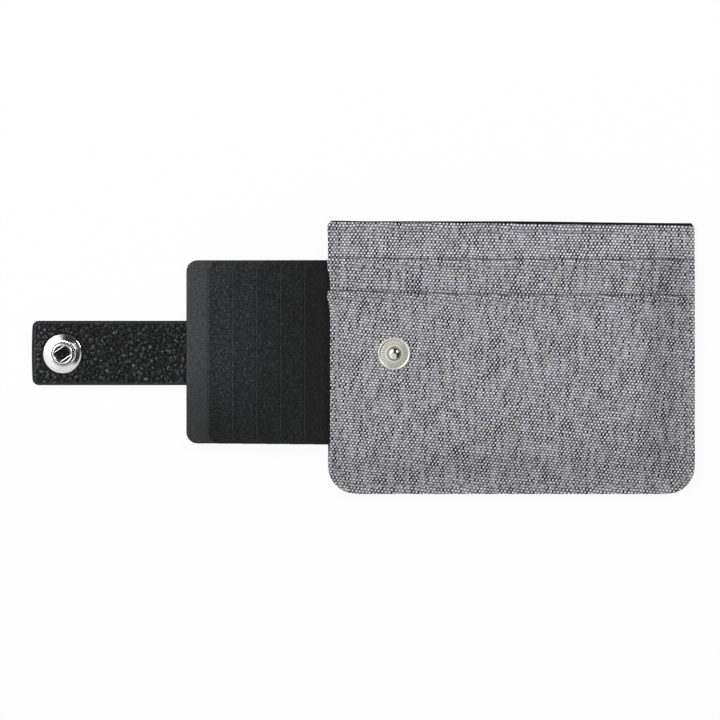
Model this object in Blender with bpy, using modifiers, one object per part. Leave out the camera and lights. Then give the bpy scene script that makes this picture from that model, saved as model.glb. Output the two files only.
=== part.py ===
"""A fabric card wallet with a pull-out cascade of card sleeves and a leather snap strap.

The wallet lies on its back with its front up, as it would on a table: +X to the right, away
from the strap, +Y to the top edge, +Z up. The sleeves are drawn out to the left, one step
further for each, and the strap lies flat. Pushed home, the sleeves line up inside the
wallet, and the strap folds round the mouth on to the stud.

Everything is in metres. The origin is under the middle of the whole object.
"""

import math

import bmesh
import bpy
from mathutils import Matrix

# Wallet body
MARGIN_BESIDE_SLEEVES = 0.01862
MARGIN_ABOVE_SLEEVES = 0.01215
MARGIN_BELOW_SLEEVES = 0.01545
BOTTOM_CORNER_RADIUS = 0.0094
TOP_CORNER_RADIUS = 0.0025
FABRIC_THICKNESS = 0.00065
LINING_THICKNESS = 0.00022
LAYER_GAP = 0.00015
FABRIC_EDGE_RADIUS = 0.00015
LINING_PEEK = 0.0006
BACK_FABRIC_SHORTFALL = 0.0003
UPPER_POCKET_DROP = 0.01175
LOWER_POCKET_DROP = 0.02245
SEAM_FLAT_WIDTH = 0.0018
MOUTH_BOW = 0.0006
MOUTH_BOW_DEPTH = 0.0090
LINER_SETBACK = 0.0014

# Card sleeves and the plain sheet that leads them
SLEEVE_LENGTH = 0.0900
SLEEVE_HEIGHT = 0.0573
SLEEVE_CORNER_RADIUS = 0.0035
FILM_THICKNESS = 0.00015
CARD_SLIT = 0.00015
PULL_SHEET_THICKNESS = 0.0005
SLEEVE_COUNT = 5
SLEEVE_STEP = 0.00752
PULL_SHEET_STEP = 0.0068
CHANNEL_SIDE_CLEARANCE = 0.0004
CHANNEL_END_CLEARANCE = 0.0015
GUSSET_PLEAT_DEPTH = 0.0022

# Leather strap
STRAP_WIDTH = 0.0202
STRAP_THICKNESS = 0.0015
STRAP_REACH = 0.0482
STRAP_BELOW_CENTRE = 0.00027
STRAP_TIP_RADIUS = 0.0019
STRAP_ROOT_OVERLAP = 0.0220
STRAP_LINK_GAP = 0.0002
BEND_STEPS = 3
FOLD_TO_MOUTH = 0.0003

# Press stud: the stud on the front, the sprung socket and its cap on the strap
SNAP_BELOW_CENTRE = 0.0005
STUD_FROM_MOUTH = 0.0207
STUD_FLANGE_RADIUS = 0.00506
STUD_FLANGE_THICKNESS = 0.0005
STUD_NECK_RADIUS = 0.00125
STUD_NECK_HEIGHT = 0.00095
STUD_BULB_RADIUS = 0.00185
STUD_HEIGHT = 0.0020
STUD_BORE_RADIUS = 0.00105
RIVET_FLANGE_RADIUS = 0.0044
RIVET_FLANGE_THICKNESS = 0.00025
RIVET_POST_RADIUS = 0.0009
RIVET_CLEARANCE = 0.0001
SOCKET_FROM_TIP = 0.00947
SOCKET_RADIUS = 0.0062
SOCKET_HEIGHT = 0.0020
SOCKET_RIM_THICKNESS = 0.00045
SOCKET_RING_RADIUS = 0.00335
SOCKET_BORE_RADIUS = 0.00205
SOCKET_GROOVE_RADIUS = 0.0030
SOCKET_GROOVE_HEIGHT = 0.0006
SNAP_CLEARANCE = 0.00015
SPRING_WIRE_DIAMETER = 0.00044
SPRING_LEG_SPACING = 0.0033
SPRING_LENGTH = 0.0043
SPRING_CORNER_RADIUS = 0.0006
SPRING_DEPTH = 0.00055
SPRING_ANGLE_DEG = 38
CAP_RADIUS = 0.00625
CAP_FLAT_RADIUS = 0.0040
CAP_RIM_HEIGHT = 0.0008
CAP_POST_RADIUS = 0.0016
CAP_POST_SETBACK = 0.0003
POST_HOLE_CLEARANCE = 0.0002

# How finely curves are drawn
ARC_STEPS = 6
ROUND_STEPS = 40
CUT_OVERRUN = 0.0010
MERGE_DISTANCE = 0.000001

# Places along Y. The wallet is as high as its sleeves and a margin on each side of them.
half_height = (MARGIN_BELOW_SLEEVES + SLEEVE_HEIGHT + MARGIN_ABOVE_SLEEVES) / 2
sleeve_low_y = MARGIN_BELOW_SLEEVES - half_height
sleeve_high_y = half_height - MARGIN_ABOVE_SLEEVES
sleeve_centre_y = (sleeve_low_y + sleeve_high_y) / 2
strap_centre_y = sleeve_centre_y - STRAP_BELOW_CENTRE
snap_centre_y = sleeve_centre_y - SNAP_BELOW_CENTRE

# Places along Z, layer by layer from the table up
back_lining_z = FABRIC_THICKNESS + LAYER_GAP
back_liner_z = back_lining_z + LINING_THICKNESS + LAYER_GAP
strap_z = back_liner_z + LINING_THICKNESS + LAYER_GAP
strap_top_z = strap_z + STRAP_THICKNESS
pull_sheet_z = strap_top_z + LAYER_GAP
first_sleeve_z = pull_sheet_z + PULL_SHEET_THICKNESS + LAYER_GAP
sleeve_thickness = 2 * FILM_THICKNESS + CARD_SLIT
sleeve_pitch = sleeve_thickness + LAYER_GAP
front_liner_z = first_sleeve_z + SLEEVE_COUNT * sleeve_pitch
front_base_z = front_liner_z + LINING_THICKNESS + LAYER_GAP
fabric_pitch = FABRIC_THICKNESS + LAYER_GAP
front_face_z = front_base_z + 2 * fabric_pitch + FABRIC_THICKNESS
seam_base_z = back_liner_z
front_rise = front_base_z - seam_base_z

# The press stud when it is closed, and the fold that the strap then makes
stud_base_z = front_face_z + LAYER_GAP
stud_rim_z = stud_base_z + STUD_FLANGE_THICKNESS
socket_base_z = strap_top_z + LAYER_GAP
closed_strap_z = stud_rim_z + SNAP_CLEARANCE + SOCKET_HEIGHT + LAYER_GAP
fold_height = closed_strap_z - strap_top_z
bend_angle = math.pi / 2 / BEND_STEPS
link_length = fold_height * math.tan(bend_angle / 2)
fold_length = (2 * BEND_STEPS - 1) * link_length
socket_from_sheet = STRAP_REACH - SOCKET_FROM_TIP
fold_start = socket_from_sheet - fold_length - STUD_FROM_MOUTH - FOLD_TO_MOUTH
closed_inset = fold_start - FOLD_TO_MOUTH

# Places along X, from the tip of the strap to the right edge of the wallet, which is as wide as
# the sleeves that it holds and a margin beside them
sleeve_reach = SLEEVE_COUNT * SLEEVE_STEP
pull_sheet_reach = sleeve_reach + PULL_SHEET_STEP
pull_travel = pull_sheet_reach + closed_inset
channel_depth = closed_inset + SLEEVE_LENGTH + CHANNEL_END_CLEARANCE
overall_length = STRAP_REACH + pull_sheet_reach + channel_depth + MARGIN_BESIDE_SLEEVES
right_x = overall_length / 2
channel_end_x = right_x - MARGIN_BESIDE_SLEEVES
mouth_x = channel_end_x - channel_depth
pull_sheet_x = mouth_x - pull_sheet_reach
strap_tip_x = pull_sheet_x - STRAP_REACH
stud_x = mouth_x + STUD_FROM_MOUTH
socket_x = strap_tip_x + SOCKET_FROM_TIP
first_bend_x = pull_sheet_x - fold_start
second_bend_x = first_bend_x - BEND_STEPS * link_length
tail_end_x = first_bend_x - fold_length


def clear_scene():
    for thing in list(bpy.data.objects):
        bpy.data.objects.remove(thing, do_unlink=True)


def new_collection(name):
    collection = bpy.data.collections.new(name)
    bpy.context.scene.collection.children.link(collection)
    return collection


def new_material(name, colour, roughness, metallic=0.0):
    material = bpy.data.materials.new(name)
    material.use_nodes = True
    shader = material.node_tree.nodes["Principled BSDF"]
    shader.inputs["Base Color"].default_value = (*colour, 1.0)
    shader.inputs["Roughness"].default_value = roughness
    shader.inputs["Metallic"].default_value = metallic
    material.diffuse_color = (*colour, 1.0)
    return material


clear_scene()
parts = new_collection("card_wallet")
cutters = new_collection("cutters")

grey_canvas = new_material("grey_canvas", (0.25, 0.25, 0.27), 0.9)
black_lining = new_material("black_lining", (0.012, 0.012, 0.013), 0.7)
smooth_plastic = new_material("smooth_plastic", (0.045, 0.046, 0.05), 0.45)
grained_plastic = new_material("grained_plastic", (0.022, 0.023, 0.025), 0.6)
black_leather = new_material("black_leather", (0.02, 0.02, 0.022), 0.5)
chrome = new_material("chrome", (0.82, 0.82, 0.82), 0.12, 1.0)
nickel = new_material("nickel", (0.6, 0.6, 0.56), 0.3, 1.0)
spring_steel = new_material("spring_steel", (0.4, 0.4, 0.4), 0.25, 1.0)


def add_part(name, data, material, collection=parts):
    """An object with this mesh or curve, in the model's collection."""
    part = bpy.data.objects.new(name, data)
    if material:
        data.materials.append(material)
    collection.objects.link(part)
    return part


def add_anchor(name, place):
    """An empty on a joint's axis, for the pieces that move on it."""
    anchor = bpy.data.objects.new(name, None)
    anchor.location = place
    parts.objects.link(anchor)
    return anchor


def attach(anchor, *pieces):
    """Makes pieces follow an anchor from where they are."""
    for piece in pieces:
        piece.parent = anchor
        piece.matrix_parent_inverse = Matrix.Translation(anchor.location).inverted()


def corner_arc(centre, radius, start_turn):
    """A quarter circle, anticlockwise from this many quarter turns."""
    points = []
    for step in range(ARC_STEPS + 1):
        angle = (start_turn + step / ARC_STEPS) * math.pi / 2
        points.append((centre[0] + radius * math.cos(angle), centre[1] + radius * math.sin(angle)))
    return points


def rounded_outline(low, high, radii):
    """A rectangle with its four corners rounded, from the lower left one anticlockwise."""
    corners = (
        (low[0], low[1], 1, 1),
        (high[0], low[1], -1, 1),
        (high[0], high[1], -1, -1),
        (low[0], high[1], 1, -1),
    )
    points = []
    for turn, ((x, y, to_x, to_y), radius) in enumerate(zip(corners, radii)):
        if radius:
            points += corner_arc((x + to_x * radius, y + to_y * radius), radius, turn + 2)
        else:
            points.append((x, y))
    return points


def outline_curve(name, points, depth):
    """A filled flat curve, extruded to this depth about its own plane."""
    curve = bpy.data.curves.new(name, "CURVE")
    curve.dimensions = "2D"
    curve.fill_mode = "BOTH"
    curve.extrude = depth / 2
    spline = curve.splines.new("POLY")
    spline.points.add(len(points) - 1)
    for point, (x, y) in zip(spline.points, points):
        point.co = (x, y, 0, 1)
    spline.use_cyclic_u = True
    return curve


def as_mesh(curve_object):
    """The same object as a mesh with its caps welded on, ready to be bevelled or cut."""
    bpy.context.view_layer.update()
    graph = bpy.context.evaluated_depsgraph_get()
    mesh = bpy.data.meshes.new_from_object(curve_object.evaluated_get(graph))
    shape = bmesh.new()
    shape.from_mesh(mesh)
    bmesh.ops.remove_doubles(shape, verts=shape.verts, dist=MERGE_DISTANCE)
    shape.to_mesh(mesh)
    shape.free()
    name = curve_object.name
    place = curve_object.matrix_world.copy()
    bpy.data.objects.remove(curve_object, do_unlink=True)
    part = bpy.data.objects.new(name, mesh)
    part.matrix_world = place
    parts.objects.link(part)
    return part


def sheet(name, low, high, bottom_z, thickness, radii, material):
    """A flat sheet with rounded corners."""
    curve = outline_curve(name, rounded_outline(low, high, radii), thickness)
    part = add_part(name, curve, material)
    part.location.z = bottom_z + thickness / 2
    return part


def round_edges(part, width, segments=1):
    """Takes the sharpness off the edges between a sheet's faces and its sides."""
    bevel = part.modifiers.new("rounded edges", "BEVEL")
    bevel.width = width
    bevel.segments = segments
    bevel.limit_method = "ANGLE"
    bevel.angle_limit = math.radians(60)


def turned(name, profile, place, material):
    """A closed profile of (radius, height) points turned about an upright axis."""
    mesh = bpy.data.meshes.new(name)
    shape = bmesh.new()
    corners = [shape.verts.new((radius, 0, height)) for radius, height in profile]
    on_axis = profile[0][0] == 0 and profile[-1][0] == 0
    followers = corners[1:] if on_axis else corners[1:] + corners[:1]
    for corner, follower in zip(corners, followers):
        shape.edges.new((corner, follower))
    shape.to_mesh(mesh)
    shape.free()
    part = add_part(name, mesh, material)
    part.location = place
    screw = part.modifiers.new("turned", "SCREW")
    screw.steps = ROUND_STEPS
    screw.render_steps = ROUND_STEPS
    screw.use_merge_vertices = True
    screw.merge_threshold = MERGE_DISTANCE
    screw.use_smooth_shade = True
    return part


def cylinder_cutter(name, radius, low_z, high_z, place):
    shape = bmesh.new()
    bmesh.ops.create_cone(
        shape, cap_ends=True, segments=ROUND_STEPS, radius1=radius, radius2=radius, depth=high_z - low_z
    )
    mesh = bpy.data.meshes.new(name)
    shape.to_mesh(mesh)
    shape.free()
    cutter = add_part(name, mesh, None, cutters)
    cutter.location = (place[0], place[1], (low_z + high_z) / 2)
    cutter.hide_render = True
    cutter.display_type = "WIRE"
    return cutter


def cut(part, cutter):
    boolean = part.modifiers.new("cut", "BOOLEAN")
    boolean.operation = "DIFFERENCE"
    boolean.solver = "EXACT"
    boolean.object = cutter


def smooth_step(value):
    """Nought up to one with level ends, for a fabric that bends without a crease."""
    value = min(max(value, 0.0), 1.0)
    return value * value * (3 - 2 * value)


# The back: grey canvas outside, black lining inside that shows above the front's top edge
wallet_radii = (BOTTOM_CORNER_RADIUS, BOTTOM_CORNER_RADIUS, TOP_CORNER_RADIUS, TOP_CORNER_RADIUS)
back_panel = as_mesh(
    sheet(
        "back_panel",
        (mouth_x, -half_height),
        (right_x, half_height - BACK_FABRIC_SHORTFALL),
        0,
        FABRIC_THICKNESS,
        wallet_radii,
        grey_canvas,
    )
)
round_edges(back_panel, FABRIC_EDGE_RADIUS)
back_lining = sheet(
    "back_lining",
    (mouth_x + BACK_FABRIC_SHORTFALL, -half_height + BACK_FABRIC_SHORTFALL),
    (right_x - BACK_FABRIC_SHORTFALL, half_height),
    back_lining_z,
    LINING_THICKNESS,
    wallet_radii,
    black_lining,
)

# The channel: a black liner below and above the sleeves, with pleated sides and end
channel_low_y = sleeve_low_y - CHANNEL_SIDE_CLEARANCE
channel_high_y = sleeve_high_y + CHANNEL_SIDE_CLEARANCE
channel_start_x = mouth_x + LINER_SETBACK
liner_low = (channel_start_x, channel_low_y - LINING_THICKNESS)
liner_high = (channel_end_x + LINING_THICKNESS, channel_high_y + LINING_THICKNESS)
square_corners = (0, 0, 0, 0)
for name, liner_z in (("channel_back_liner", back_liner_z), ("channel_front_liner", front_liner_z)):
    sheet(name, liner_low, liner_high, liner_z, LINING_THICKNESS, square_corners, black_lining)

gusset_z = strap_z
gusset_height = front_liner_z - LAYER_GAP - gusset_z


def gusset(name, across, along, place, length):
    """A strip with one pleat pointing away from the sleeves. across and along are its directions."""
    pleat = [
        (0, 0),
        (LINING_THICKNESS, 0),
        (GUSSET_PLEAT_DEPTH + LINING_THICKNESS, gusset_height / 2),
        (LINING_THICKNESS, gusset_height),
        (0, gusset_height),
        (GUSSET_PLEAT_DEPTH, gusset_height / 2),
    ]
    part = add_part(name, outline_curve(name, pleat, length), black_lining)
    turn = Matrix((across, (0, 0, 1), along)).transposed().to_4x4()
    part.matrix_world = Matrix.Translation(place) @ turn
    return part


channel_length = channel_end_x - channel_start_x
channel_middle_x = (channel_start_x + channel_end_x) / 2
for name, side, side_y in (("channel_upper_gusset", 1, channel_high_y), ("channel_lower_gusset", -1, channel_low_y)):
    gusset(name, (0, side, 0), (side, 0, 0), (channel_middle_x, side_y, gusset_z), channel_length)
gusset(
    "channel_end_gusset",
    (1, 0, 0),
    (0, -1, 0),
    (channel_end_x, sleeve_centre_y, gusset_z),
    SLEEVE_HEIGHT,
)


# The front: a full canvas panel, then two slip pockets laid on it, all draped over the sleeves
front_top_y = half_height - LINING_PEEK
upper_pocket_y = half_height - UPPER_POCKET_DROP
lower_pocket_y = half_height - LOWER_POCKET_DROP
corner_bottom_y = -half_height + BOTTOM_CORNER_RADIUS
corner_top_y = front_top_y - TOP_CORNER_RADIUS
top_foot_y = front_top_y - SEAM_FLAT_WIDTH
bottom_foot_y = -half_height + SEAM_FLAT_WIDTH
right_foot_x = right_x - SEAM_FLAT_WIDTH
top_brow_y = liner_high[1]
bottom_brow_y = liner_low[1]
right_brow_x = liner_high[0]


slope_shares = (0.68, 0.84, 1.0)
row_shares = (0, 0.18, 0.36, 0.54, 0.77, 1.0)
corner_shares = (0, 0.1, 0.25, 0.45, 0.7)


def front_rise_share(x, y):
    """How much of the full rise the front has here: none at its seams, all of it over the sleeves."""
    return (
        smooth_step((top_foot_y - y) / (top_foot_y - top_brow_y))
        * smooth_step((y - bottom_foot_y) / (bottom_brow_y - bottom_foot_y))
        * smooth_step((right_foot_x - x) / (right_foot_x - right_brow_x))
    )


def corner_inset(distance, radius):
    """How far a rounded corner has left its edge, this far in from the other edge."""
    if distance >= radius:
        return 0.0
    return radius - math.sqrt(radius**2 - (radius - distance) ** 2)


def front_columns():
    """X places of the front's grid: close together at the corners and on the slope."""
    small = [TOP_CORNER_RADIUS * (1 - math.cos(step * math.pi / 8)) for step in range(4)]
    large = [
        BOTTOM_CORNER_RADIUS * (1 - math.cos(step * math.pi / 2 / ARC_STEPS))
        for step in range(3, ARC_STEPS + 1)
    ]
    from_edge = small + large
    slope_end = right_x - right_brow_x
    slope = [slope_end * share for share in slope_shares if slope_end * share > BOTTOM_CORNER_RADIUS]
    left = [mouth_x + step for step in from_edge]
    right = [right_x - step for step in from_edge + slope]
    return left + [stud_x + STUD_FLANGE_RADIUS] + right[::-1]


def front_rows(top_y):
    """Y places of the front's grid between its two rows of corners."""
    rows = [corner_bottom_y, (corner_bottom_y + bottom_brow_y) / 2, bottom_brow_y, snap_centre_y]
    rows += [lower_pocket_y, upper_pocket_y]
    rows += [top_brow_y + (corner_top_y - top_brow_y) * share for share in row_shares]
    return sorted(y for y in rows if y < top_y or math.isclose(y, top_y))


def front_grid(top_y):
    """Rows of points over the front, up to this height, with the outline's round corners."""
    full_height = math.isclose(top_y, front_top_y)
    rows = []
    columns = front_columns()
    for share in corner_shares:
        row = []
        for x in columns:
            inset = corner_inset(min(x - mouth_x, right_x - x), BOTTOM_CORNER_RADIUS)
            bottom = -half_height + inset
            row.append((x, bottom + (corner_bottom_y - bottom) * share))
        rows.append(row)
    rows += [[(x, y) for x in columns] for y in front_rows(top_y)]
    if full_height:
        row = []
        for x in columns:
            inset = corner_inset(min(x - mouth_x, right_x - x), TOP_CORNER_RADIUS)
            row.append((x, front_top_y - inset))
        rows.append(row)
    return rows


def mouth_bow(x, y):
    """How far the edge of the mouth is drawn in by the pull of its seam."""
    share = (y - corner_bottom_y) / (corner_top_y - corner_bottom_y)
    if not 0 < share < 1:
        return 0.0
    fade = max(0.0, 1 - (x - mouth_x) / MOUTH_BOW_DEPTH)
    return MOUTH_BOW * math.sin(share * math.pi) ** 2 * fade


def front_layer(name, top_y, layer):
    """One canvas layer of the front, draped over the sleeves. Layer nought lies on them."""
    rows = front_grid(top_y)
    across = len(rows[0])
    shape = bmesh.new()
    bmesh.ops.create_grid(shape, x_segments=across - 1, y_segments=len(rows) - 1, size=1)
    shape.verts.ensure_lookup_table()
    low_z = seam_base_z + layer * fabric_pitch
    for number, vert in enumerate(shape.verts):
        x, y = rows[number // across][number % across]
        vert.co = (x + mouth_bow(x, y), y, low_z + front_rise * front_rise_share(x, y))
    raised = bmesh.ops.extrude_face_region(shape, geom=shape.faces[:])["geom"]
    upper = [item for item in raised if isinstance(item, bmesh.types.BMVert)]
    bmesh.ops.translate(shape, verts=upper, vec=(0, 0, FABRIC_THICKNESS))
    bmesh.ops.recalc_face_normals(shape, faces=shape.faces)
    mesh = bpy.data.meshes.new(name)
    shape.to_mesh(mesh)
    shape.free()
    mesh.shade_smooth()
    mesh.set_sharp_from_angle(angle=math.radians(40))
    return add_part(name, mesh, grey_canvas)


front_base_panel = front_layer("front_base_panel", front_top_y, 0)
upper_slip_pocket = front_layer("upper_slip_pocket", upper_pocket_y, 1)
lower_slip_pocket = front_layer("lower_slip_pocket", lower_pocket_y, 2)

# The stud's rivet is pressed into the back of the lower pocket, so that cards slide past it
lower_pocket_z = front_face_z - FABRIC_THICKNESS
counterbore_depth = RIVET_FLANGE_THICKNESS + RIVET_CLEARANCE
stud_place = (stud_x, snap_centre_y)
cut(
    lower_slip_pocket,
    cylinder_cutter(
        "rivet_hole",
        RIVET_POST_RADIUS + RIVET_CLEARANCE,
        lower_pocket_z - CUT_OVERRUN,
        front_face_z + CUT_OVERRUN,
        stud_place,
    ),
)
cut(
    lower_slip_pocket,
    cylinder_cutter(
        "rivet_counterbore",
        RIVET_FLANGE_RADIUS + RIVET_CLEARANCE,
        lower_pocket_z - CUT_OVERRUN,
        lower_pocket_z + counterbore_depth,
        stud_place,
    ),
)

# The stud: a dished flange, a neck for the spring to close on, and a bulb
bulb_height = STUD_HEIGHT - STUD_NECK_HEIGHT
bulb_shares = ((0, 1), (0.45, 0.97), (0.78, 0.85), (0.96, 0.62), (1, 0.4), (0.93, 0.16))
stud_profile = [
    (STUD_BULB_RADIUS * out, STUD_FLANGE_THICKNESS + STUD_NECK_HEIGHT + bulb_height * up)
    for out, up in bulb_shares
]
dish_shares = ((0.36, 0.62), (0.8, 0.5), (0.88, 0.92), (0.94, 1), (0.985, 0.85), (1, 0.5), (0.98, 0))
stud_profile += [
    (STUD_NECK_RADIUS, STUD_FLANGE_THICKNESS + STUD_NECK_HEIGHT),
    (STUD_NECK_RADIUS, STUD_FLANGE_THICKNESS),
]
stud_profile += [(STUD_FLANGE_RADIUS * out, STUD_FLANGE_THICKNESS * up) for out, up in dish_shares]
stud_profile += [
    (STUD_BORE_RADIUS, 0),
    (STUD_BORE_RADIUS, STUD_FLANGE_THICKNESS + STUD_NECK_HEIGHT),
    (0, STUD_FLANGE_THICKNESS + STUD_NECK_HEIGHT),
]
turned("snap_stud", stud_profile, (*stud_place, stud_base_z), nickel)

rivet_post_top = stud_rim_z + STUD_NECK_HEIGHT - RIVET_CLEARANCE - lower_pocket_z
rivet_profile = [
    (0, rivet_post_top),
    (RIVET_POST_RADIUS, rivet_post_top),
    (RIVET_POST_RADIUS, RIVET_FLANGE_THICKNESS),
    (RIVET_FLANGE_RADIUS, RIVET_FLANGE_THICKNESS),
    (RIVET_FLANGE_RADIUS, 0),
    (0, 0),
]
turned("stud_rivet", rivet_profile, (*stud_place, lower_pocket_z), nickel)

# The sleeves: the plain sheet leads, and each sleeve lies on the one before it
sleeve_radii = (SLEEVE_CORNER_RADIUS,) * 4


def sliding_sheet(name, left_x, bottom_z, thickness, material):
    return sheet(
        name,
        (left_x, sleeve_low_y),
        (left_x + SLEEVE_LENGTH, sleeve_high_y),
        bottom_z,
        thickness,
        sleeve_radii,
        material,
    )


pull_anchor = add_anchor("pull_slide", (pull_sheet_x, sleeve_centre_y, pull_sheet_z))
attach(
    pull_anchor,
    sliding_sheet("pull_sheet", pull_sheet_x, pull_sheet_z, PULL_SHEET_THICKNESS, smooth_plastic),
)
for number in range(SLEEVE_COUNT):
    left_x = mouth_x - sleeve_reach + number * SLEEVE_STEP
    bottom_z = first_sleeve_z + number * sleeve_pitch
    front_film_z = bottom_z + FILM_THICKNESS + CARD_SLIT
    label = f"sleeve_{number + 1}"
    slide = add_anchor(f"{label}_slide", (left_x, sleeve_centre_y, bottom_z))
    attach(
        slide,
        sliding_sheet(f"{label}_back", left_x, bottom_z, FILM_THICKNESS, grained_plastic),
        sliding_sheet(f"{label}_front", left_x, front_film_z, FILM_THICKNESS, grained_plastic),
    )

# The strap: sewn under the plain sheet. It makes two quarter turns, one up the mouth and one over
# the front, each with short links where the leather bends and a stiff length beyond them.
strap_low_y = strap_centre_y - STRAP_WIDTH / 2
strap_high_y = strap_centre_y + STRAP_WIDTH / 2
half_link_gap = STRAP_LINK_GAP / 2


def strap_piece(name, left_x, end_x, radii=square_corners):
    low = (left_x, strap_low_y)
    high = (end_x, strap_high_y)
    return as_mesh(sheet(name, low, high, strap_z, STRAP_THICKNESS, radii, black_leather))


def bend_axis(start_x, direction, steps):
    """What a piece turns about to rise this many steps round a bend.

    The bend starts at start_x, on the strap's upper face, and runs to the left if direction is -1.
    """
    flat = complex(start_x + direction * (steps - 1) * link_length, strap_top_z)
    raised = complex(start_x, strap_top_z)
    for step in range(1, steps):
        angle = step * bend_angle
        raised += link_length * complex(direction * math.cos(angle), math.sin(angle))
    turn = complex(math.cos(steps * bend_angle), direction * math.sin(steps * bend_angle))
    axis = (raised - turn * flat) / (1 - turn)
    return axis.real, strap_centre_y, axis.imag


def strap_anchor(base, name, start_x, direction, steps):
    anchor = add_anchor(name, bend_axis(start_x, direction, steps))
    attach(base, anchor)
    return anchor


def bend_links(base, names, start_x, direction):
    """The short links of a bend, numbered from the stiff length that carries them."""
    for step, name in enumerate(names, 1):
        near_x = start_x + direction * (step - 1) * link_length
        far_x = near_x + direction * link_length
        left_x = min(near_x, far_x) + half_link_gap
        end_x = max(near_x, far_x) - half_link_gap
        anchor = strap_anchor(base, f"{name}_turn", start_x, direction, step)
        attach(anchor, strap_piece(name, left_x, end_x))


# The root carries the first bend's links, and the tail those of the second, which starts at its end
strap_root = strap_piece("strap_root", first_bend_x + half_link_gap, pull_sheet_x + STRAP_ROOT_OVERLAP)
attach(pull_anchor, strap_root)
bend_links(pull_anchor, ("strap_link_1", "strap_link_2"), first_bend_x, -1)
bridge_anchor = strap_anchor(pull_anchor, "bridge_turn", first_bend_x, -1, BEND_STEPS)
bridge_left_x = second_bend_x + half_link_gap
bridge_right_x = first_bend_x - 2 * link_length - half_link_gap
attach(bridge_anchor, strap_piece("strap_bridge", bridge_left_x, bridge_right_x))
tail_anchor = strap_anchor(bridge_anchor, "tail_turn", second_bend_x, -1, BEND_STEPS)
tail_radii = (STRAP_TIP_RADIUS, 0, 0, STRAP_TIP_RADIUS)
strap_tail = strap_piece("strap_tail", strap_tip_x, tail_end_x - half_link_gap, tail_radii)
attach(tail_anchor, strap_tail)
bend_links(tail_anchor, ("strap_link_4", "strap_link_3"), tail_end_x, 1)
cut(
    strap_tail,
    cylinder_cutter(
        "post_hole",
        CAP_POST_RADIUS + POST_HOLE_CLEARANCE,
        strap_z - CUT_OVERRUN,
        strap_top_z + CUT_OVERRUN,
        (socket_x, snap_centre_y),
    ),
)

# The socket: a rolled rim, a sloping face and a raised ring round the bore, grooved for its spring
groove_top = SOCKET_HEIGHT - SPRING_DEPTH + SOCKET_GROOVE_HEIGHT / 2
groove_bottom = groove_top - SOCKET_GROOVE_HEIGHT
ring_shares = ((0.68, 1), (0.88, 1), (0.97, 0.93), (1, 0.82), (1, 0.64))
rim_shares = ((0.62, 2.4), (0.8, 1.75), (0.92, 1.35), (0.975, 1.2), (1, 0.8), (0.99, 0.3), (0.95, 0))
socket_profile = [(SOCKET_RING_RADIUS * out, SOCKET_HEIGHT * up) for out, up in ring_shares]
socket_profile += [(SOCKET_RADIUS * out, SOCKET_RIM_THICKNESS * up) for out, up in rim_shares]
socket_profile += [
    (SOCKET_BORE_RADIUS, 0),
    (SOCKET_BORE_RADIUS, groove_bottom),
    (SOCKET_GROOVE_RADIUS, groove_bottom),
    (SOCKET_GROOVE_RADIUS, groove_top),
    (SOCKET_BORE_RADIUS, groove_top),
    (SOCKET_BORE_RADIUS, SOCKET_HEIGHT * 0.97),
]
socket_place = (socket_x, snap_centre_y, socket_base_z)
snap_socket = turned("snap_socket", socket_profile, socket_place, chrome)

# The spring: one closed wire, whose two long sides grip the stud's neck
half_spring = (SPRING_LEG_SPACING / 2, SPRING_LENGTH / 2)
spring_points = rounded_outline(
    (-half_spring[0], -half_spring[1]), half_spring, (SPRING_CORNER_RADIUS,) * 4
)
spring_curve = bpy.data.curves.new("socket_spring", "CURVE")
spring_curve.dimensions = "3D"
spring_curve.bevel_depth = SPRING_WIRE_DIAMETER / 2
spring_curve.bevel_resolution = 1
wire = spring_curve.splines.new("POLY")
wire.points.add(len(spring_points) - 1)
for point, (x, y) in zip(wire.points, spring_points):
    point.co = (x, y, 0, 1)
wire.use_cyclic_u = True
socket_spring = add_part("socket_spring", spring_curve, spring_steel)
socket_spring.location = (socket_x, snap_centre_y, socket_base_z + SOCKET_HEIGHT - SPRING_DEPTH)
socket_spring.rotation_euler.z = math.radians(SPRING_ANGLE_DEG - 90)

# The cap under the strap's tip, whose post holds the socket. The tip rests on its flat middle.
cap_top_z = strap_z - LAYER_GAP
cap_post_z = strap_top_z - CAP_POST_SETBACK
cap_profile = [
    (0, cap_post_z),
    (CAP_POST_RADIUS, cap_post_z),
    (CAP_POST_RADIUS, cap_top_z),
    (CAP_RADIUS - (cap_top_z - CAP_RIM_HEIGHT), cap_top_z),
    (CAP_RADIUS, CAP_RIM_HEIGHT),
]
dome_steps = ARC_STEPS - 1
for step in range(1, dome_steps + 1):
    angle = step / dome_steps * math.pi / 2
    cap_profile.append(
        (
            CAP_FLAT_RADIUS + (CAP_RADIUS - CAP_FLAT_RADIUS) * math.cos(angle),
            CAP_RIM_HEIGHT * (1 - math.sin(angle)),
        )
    )
cap_profile.append((0, 0))
socket_cap = turned("socket_cap", cap_profile, (socket_x, snap_centre_y, 0), chrome)
attach(tail_anchor, snap_socket, socket_spring, socket_cap)
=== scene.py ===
import math

import bpy
from mathutils import Matrix, Vector, noise


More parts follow.
